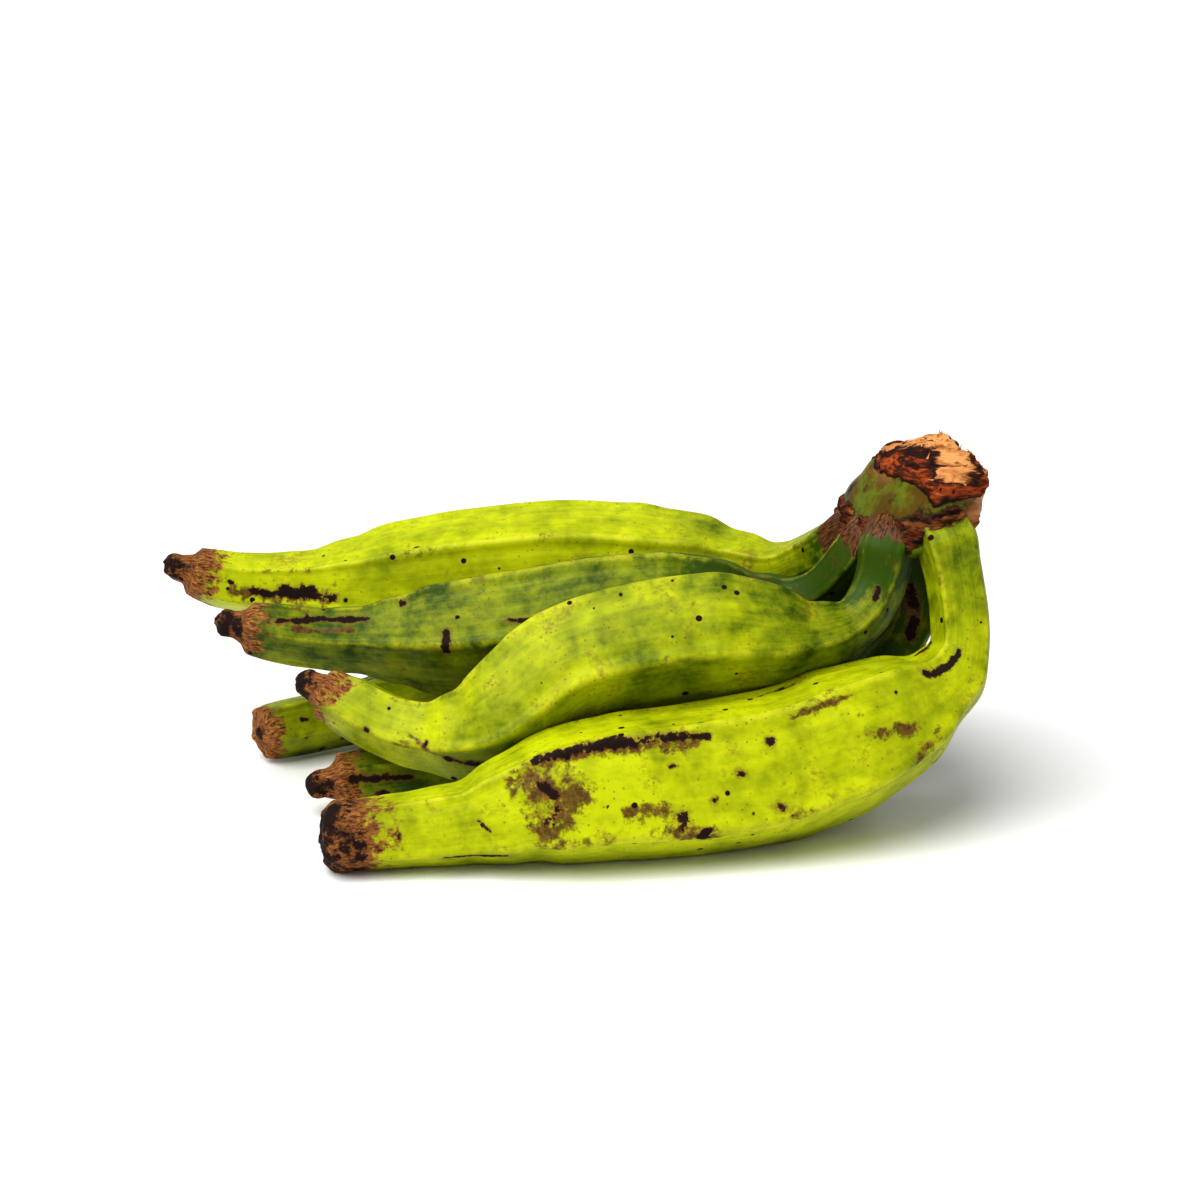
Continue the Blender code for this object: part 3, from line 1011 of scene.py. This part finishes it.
def add_splinter(shape, root, out, dice):
    """Adds one loose fibre to the bmesh, leaning away from the crown at root."""
    lie = Vector((dice.uniform(-1, 0.6), dice.uniform(-0.6, 0.3), dice.uniform(0.0, 1.0)))
    lean = (lie - lie.project(out) * 0.75).normalized()
    length = dice.uniform(1.2, 3.0) * MM
    thick = dice.uniform(0.3, 0.7) * MM
    made = bmesh.ops.create_cone(
        shape, cap_ends=True, segments=5, radius1=thick, radius2=SPLINTER_TIP, depth=length
    )
    bmesh.ops.translate(shape, verts=made["verts"], vec=(0, 0, length * 0.35))
    bmesh.ops.rotate(shape, verts=made["verts"], matrix=lean.to_track_quat("Z", "Y").to_matrix())
    bmesh.ops.translate(shape, verts=made["verts"], vec=root)


def make_splinters(points, layers, material):
    """Makes the loose fibres that stand out of the torn top."""
    dice = random.Random(3)
    shape = bmesh.new()
    normals = outward(points)
    torn = np.argwhere((layers["torn"] > 0.05) & (np.arange(points.shape[1])[None, :] > 0))
    for _ in range(SPLINTERS):
        row, column = torn[dice.randrange(len(torn))]
        add_splinter(shape, Vector(points[row, column]), Vector(normals[row, column]), dice)
    store = shape.verts.layers.float.new("torn")
    for vert in shape.verts:
        vert[store] = 0.25 + 0.9 * max(0.0, min(1.0, (vert.co.z - FRESH_HEIGHT) / FRESH_FADE))
    piece_from("crown_splinters", shape, material)


def skirted(points):
    """The crown's points with its lower edge spread out and drawn down over the necks."""
    skirt = np.clip((SKIRT_TOP - points[..., 2]) / SKIRT_FADE, 0, 1)
    middle = points[:, :-1].mean(axis=1, keepdims=True)
    points = points + (points - middle) * SKIRT_FLARE * skirt[..., None]
    points[..., 2] -= SKIRT_DROP * skirt
    return points


def make_crown():
    """Makes the crown's rind, scar and torn top, with loose fibres."""
    points = skirted(read_along(read_round(cad_rings("crown"), CROWN_COLUMNS), CROWN_ROWS))
    layers = crown_layers(points)
    push = crown_relief(points, layers)
    push[0] = 0
    push[-1] = 0
    points = points + outward(points) * push[..., None]
    material = crown_material()
    piece_from("crown_skin", skin_mesh(points, layers), material, "crown")
    make_splinters(points, layers, material)


# The stage


def make_floor(settings):
    """Makes a wide round floor."""
    shape = bmesh.new()
    bmesh.ops.create_circle(shape, cap_ends=True, segments=96, radius=settings.floor_radius)
    mesh = bpy.data.meshes.new("floor")
    shape.to_mesh(mesh)
    shape.free()
    floor = bpy.data.objects.new("floor", mesh)
    bpy.context.scene.collection.objects.link(floor)
    material = bpy.data.materials.new("pale_floor")
    material.use_nodes = True
    shader = material.node_tree.nodes["Principled BSDF"]
    shader.inputs["Base Color"].default_value = (*settings.floor, 1)
    shader.inputs["Roughness"].default_value = 0.22
    shader.inputs["Specular IOR Level"].default_value = 0.3
    mesh.materials.append(material)


def make_key_light(settings):
    """Makes a soft light as wide as a studio ceiling, from above the camera's left shoulder."""
    light = bpy.data.lights.new("key", "SUN")
    light.energy = settings.key_strength
    light.angle = LIGHT_WIDTH
    lamp = bpy.data.objects.new("key", light)
    lamp.rotation_euler = Vector(LIGHT_WAY).to_track_quat("-Z", "Y").to_euler()
    bpy.context.scene.collection.objects.link(lamp)


def make_camera(settings):
    """Makes the camera, in front of the hand and a little above it."""
    back = Vector((0, -math.cos(settings.elevation), math.sin(settings.elevation)))
    lens = bpy.data.cameras.new("camera")
    lens.lens = settings.lens
    lens.sensor_width = SENSOR_WIDTH
    camera = bpy.data.objects.new("camera", lens)
    camera.location = Vector(AIM) + back * settings.distance
    camera.rotation_euler = (-back).to_track_quat("-Z", "Y").to_euler()
    bpy.context.scene.collection.objects.link(camera)
    bpy.context.scene.camera = camera


def make_world(settings):
    """Makes a white surround that is bright to look at and dimmer as a light."""
    world = bpy.data.worlds.new("studio")
    world.use_nodes = True
    bpy.context.scene.world = world
    nodes = Nodes(world.node_tree)
    background = world.node_tree.nodes["Background"]
    background.inputs["Color"].default_value = (1, 1, 1, 1)
    seen = nodes.add("ShaderNodeLightPath").outputs["Is Camera Ray"]
    strength = nodes.plus(settings.surround, nodes.times(seen, 1 - settings.surround))
    nodes.join(strength, background.inputs["Strength"])
    bpy.context.scene.view_settings.view_transform = "Standard"
    bpy.context.scene.view_settings.look = "Medium High Contrast"


# The add-on


class PLANTAIN_OT_lower_fingers(bpy.types.Operator):
    """Makes the skins of the lower row of fingers"""

    bl_idname = "plantain.lower_fingers"
    bl_label = "Lower fingers"

    def execute(self, context):
        for node in LOWER_ROW:
            make_finger(node)
        return {"FINISHED"}


class PLANTAIN_OT_upper_fingers(bpy.types.Operator):
    """Makes the skins of the upper row of fingers"""

    bl_idname = "plantain.upper_fingers"
    bl_label = "Upper fingers"

    def execute(self, context):
        for node in UPPER_ROW:
            make_finger(node)
        return {"FINISHED"}


class PLANTAIN_OT_crown(bpy.types.Operator):
    """Makes the torn crown"""

    bl_idname = "plantain.crown"
    bl_label = "Crown"

    def execute(self, context):
        make_crown()
        return {"FINISHED"}


class PLANTAIN_OT_stage(bpy.types.Operator):
    """Makes the floor, the lights and the camera"""

    bl_idname = "plantain.stage"
    bl_label = "Stage"

    def execute(self, context):
        settings = context.scene.plantain_stage
        make_world(settings)
        make_floor(settings)
        make_camera(settings)
        make_key_light(settings)
        return {"FINISHED"}


OPERATORS = (
    PLANTAIN_OT_lower_fingers,
    PLANTAIN_OT_upper_fingers,
    PLANTAIN_OT_crown,
    PLANTAIN_OT_stage,
)


class PLANTAIN_PT_panel(bpy.types.Panel):
    """Lists the steps that make the hand"""

    bl_idname = "PLANTAIN_PT_panel"
    bl_label = "Hand of plantains"
    bl_space_type = "VIEW_3D"
    bl_region_type = "UI"
    bl_category = "Plantains"

    def draw(self, context):
        for name in SETTINGS:
            settings = getattr(context.scene, name)
            box = self.layout.box()
            for value in settings.bl_rna.properties:
                if not value.is_readonly and value.identifier != "name":
                    box.prop(settings, value.identifier)
        for operator in OPERATORS:
            self.layout.operator(operator.bl_idname)


def register():
    """Registers the settings, operators and panel."""
    for kind in (*SETTINGS.values(), *OPERATORS, PLANTAIN_PT_panel):
        bpy.utils.register_class(kind)
    for name, kind in SETTINGS.items():
        setattr(bpy.types.Scene, name, bpy.props.PointerProperty(type=kind))


def unregister():
    """Removes what register added."""
    for name in SETTINGS:
        delattr(bpy.types.Scene, name)
    for kind in (PLANTAIN_PT_panel, *reversed(OPERATORS), *reversed(SETTINGS.values())):
        bpy.utils.unregister_class(kind)


def main():
    """Makes every piece and the stage."""
    register()
    bpy.ops.plantain.lower_fingers()
    bpy.ops.plantain.upper_fingers()
    bpy.ops.plantain.crown()
    bpy.ops.plantain.stage()


if __name__ == "__main__":
    main()
